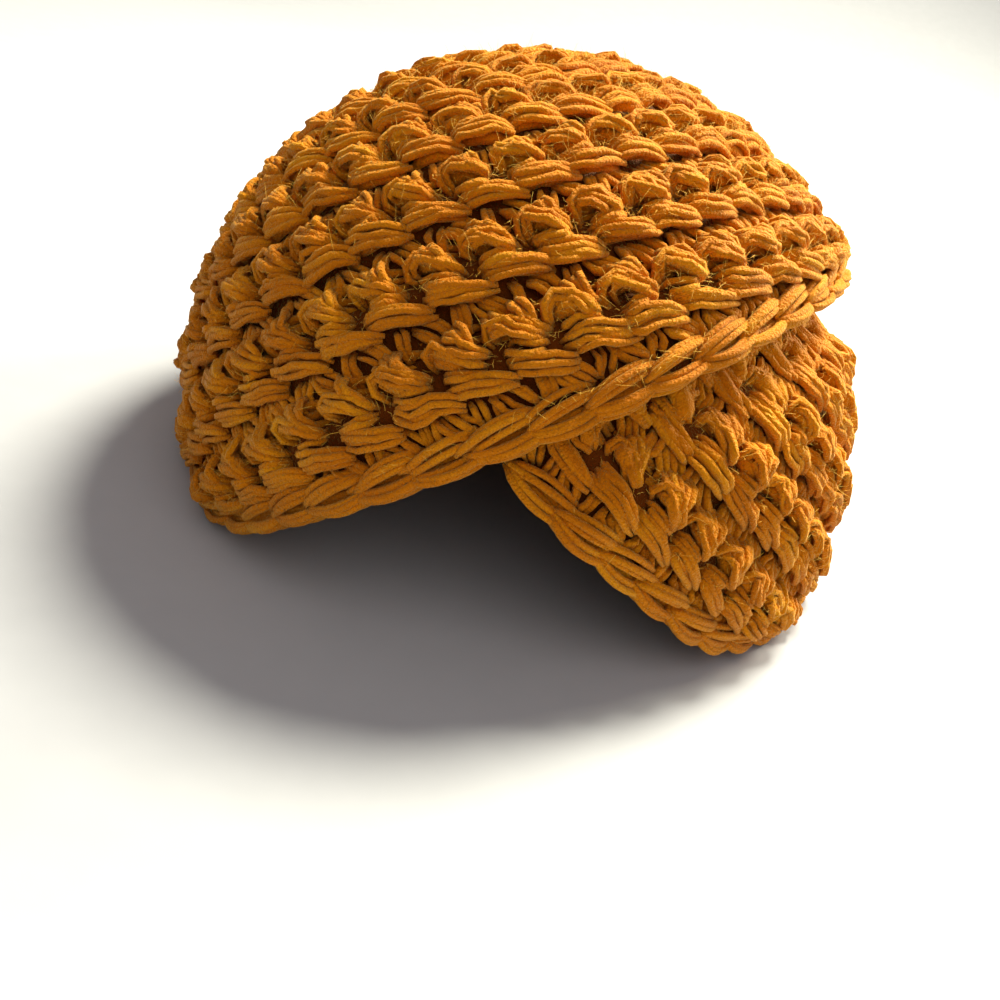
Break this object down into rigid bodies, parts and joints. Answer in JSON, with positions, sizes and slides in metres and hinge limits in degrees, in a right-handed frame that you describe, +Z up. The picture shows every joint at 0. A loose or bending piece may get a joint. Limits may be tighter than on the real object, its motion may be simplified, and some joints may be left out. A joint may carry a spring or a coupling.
{
  "type": "turban hat",
  "caption": "Chunky crochet turban hat whose ridged crown wrap crosses aslant over a side wrap at the forehead, with an arched front opening.",
  "frame": {"origin": "centre of the bounding box at its foot, on the table that the rim rests on", "axes": "+Z up through the crown, -Y the way the forehead faces, +X to the side where the side wrap shows"},
  "size_m": [0.1908, 0.21, 0.1213],
  "materials": {
    "mustard_yarn": "thick soft roving yarn in mustard, crocheted in standing ridges, matte and slightly fuzzy",
    "mustard_yarn_side": "the same mustard roving yarn, crocheted in ridges that run down the right side"
  },
  "bodies": {
    "root": {"crown_wrap": "mustard_yarn", "side_wrap": "mustard_yarn_side"}
  },
  "joints": []
}
